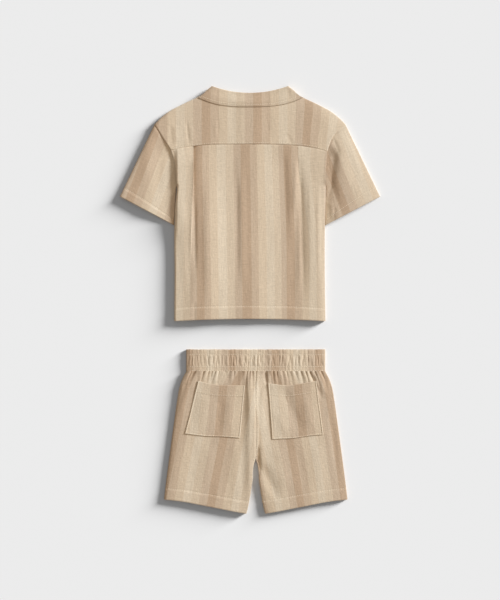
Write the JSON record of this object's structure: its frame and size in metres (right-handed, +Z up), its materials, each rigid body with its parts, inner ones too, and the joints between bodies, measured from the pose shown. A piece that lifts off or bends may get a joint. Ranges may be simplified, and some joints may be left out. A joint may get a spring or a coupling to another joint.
{
  "type": "toddler's short-sleeved shirt and shorts set, laid flat",
  "caption": "Child's two-piece cotton set laid flat, back up: short-sleeved camp-collar shirt above pull-on shorts with gathered waistband and back patch pockets.",
  "frame": {"origin": "on the surface that the clothes lie on, below the middle of the whole set's outline", "axes": "+Z up from the surface, +Y from the shorts' hems to the shirt's collar, +X to the right of someone looking down on the backs"},
  "size_m": [0.47, 0.768, 0.0098],
  "materials": {
    "shirt_cloth": "matte crinkled double gauze with broad tonal stripes",
    "collar_cloth": "matte crinkled double gauze with broad tonal stripes",
    "shorts_cloth": "matte crinkled double gauze with broad tonal stripes",
    "waistband_cloth": "matte double gauze gathered on elastic",
    "pocket_cloth": "matte crinkled double gauze with broad tonal stripes",
    "buttons": "satin, turned"
  },
  "bodies": {
    "root": {"shirt_yoke": "shirt_cloth", "shirt_back": "shirt_cloth", "shirt_front_left": "shirt_cloth", "shirt_front_right": "shirt_cloth", "sleeve_left": "shirt_cloth", "sleeve_right": "shirt_cloth", "collar": "collar_cloth", "collar_wing_left": "collar_cloth", "collar_wing_right": "collar_cloth", "button_1": "buttons", "button_2": "buttons", "button_3": "buttons", "button_4": "buttons", "button_5": "buttons", "shorts_back_left": "shorts_cloth", "shorts_back_right": "shorts_cloth", "shorts_front_left": "shorts_cloth", "shorts_front_right": "shorts_cloth", "waistband": "waistband_cloth", "pocket_left": "pocket_cloth", "pocket_right": "pocket_cloth"}
  },
  "joints": []
}
